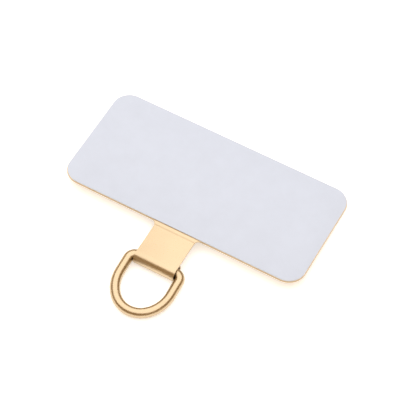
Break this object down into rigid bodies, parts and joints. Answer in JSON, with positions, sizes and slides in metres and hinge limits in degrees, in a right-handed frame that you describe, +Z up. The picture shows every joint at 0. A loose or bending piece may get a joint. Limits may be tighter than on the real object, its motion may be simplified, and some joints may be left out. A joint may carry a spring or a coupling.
{
  "type": "phone lanyard patch",
  "caption": "Flat metal lanyard patch with a rounded plate, a tab curled round a swinging D-ring, and an adhesive top under a paper liner.",
  "frame": {"origin": "under the middle of the outline, on the surface it lies on", "axes": "+X along the plate's long side, +Y away from the ring, +Z up"},
  "size_m": [0.064, 0.0542, 0.004],
  "materials": {
    "gold_steel": "satin gold plating on spring steel",
    "gold_wire": "polished gold plating on steel wire",
    "adhesive": "pale acrylic foam film, satin",
    "liner": "matte coated release paper"
  },
  "bodies": {
    "patch": {"steel_patch": "gold_steel", "adhesive_film": "adhesive", "release_liner": "liner"},
    "ring": {"d_ring": "gold_wire"}
  },
  "joints": [
    {"name": "ring_swing", "type": "hinge", "parent": "patch", "child": "ring", "pos_m": [0, -0.0125, 0.002], "axis": [1, 0, 0], "range_deg": [-158, 170]}
  ]
}
